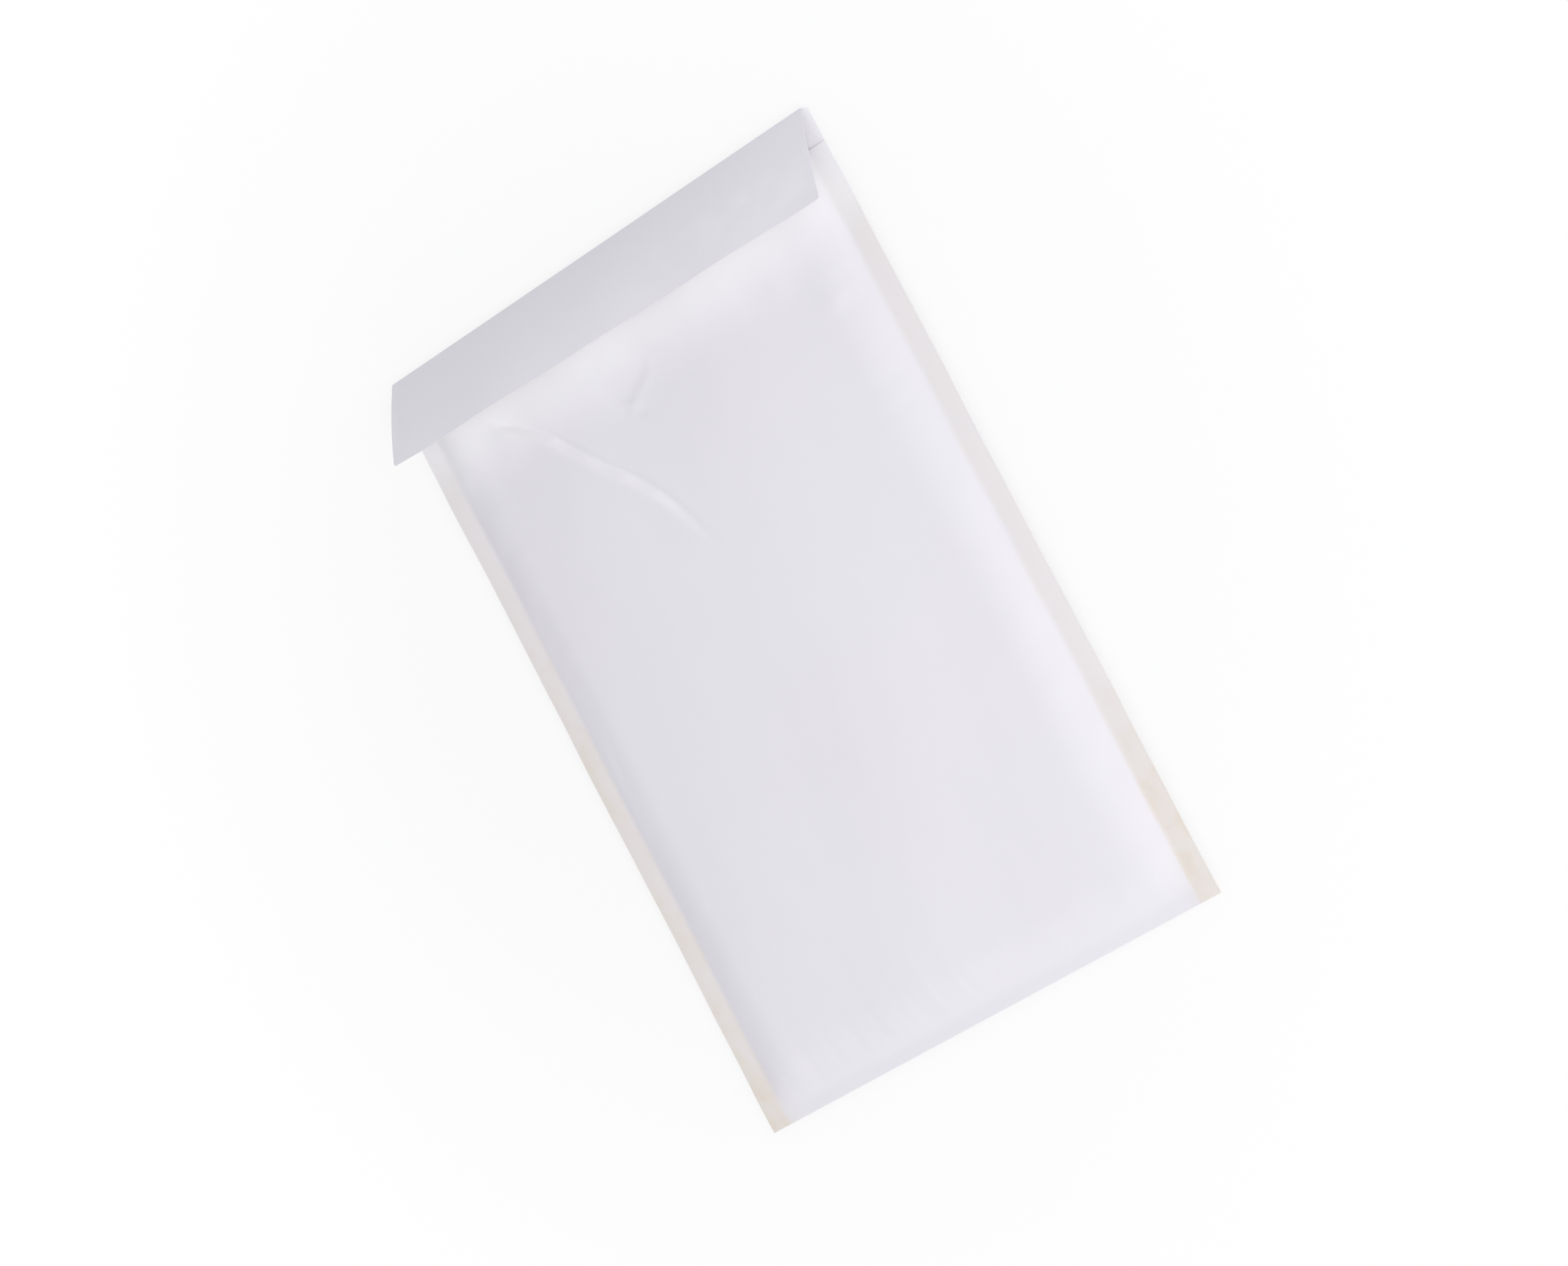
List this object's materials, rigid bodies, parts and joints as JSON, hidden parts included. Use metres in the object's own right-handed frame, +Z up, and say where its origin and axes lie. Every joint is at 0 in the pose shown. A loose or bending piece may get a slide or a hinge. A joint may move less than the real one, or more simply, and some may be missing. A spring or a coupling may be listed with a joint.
{
  "type": "padded envelope",
  "caption": "Flat white padded paper mailing envelope lined with bubble film, glued side seams, folded bottom and a seal flap that stands off the front.",
  "frame": {"origin": "middle of the outline, on the surface that the envelope lies on", "axes": "+X to the right across the front panel, +Y along the envelope towards the flap, +Z up out of the front panel"},
  "size_m": [0.25, 0.35, 0.0284],
  "materials": {
    "white_paper": "satin",
    "bubble_film": "gloss",
    "seam_glue": "satin",
    "seal_adhesive": "gloss",
    "release_paper": "gloss"
  },
  "bodies": {
    "root": {"front_panel": "white_paper", "back_panel_with_flap": "white_paper", "bubble_film_back": "bubble_film", "bubble_film_front": "bubble_film", "seam_glue_left": "seam_glue", "seam_glue_right": "seam_glue", "seal_adhesive": "seal_adhesive", "release_strip": "release_paper"}
  },
  "joints": []
}
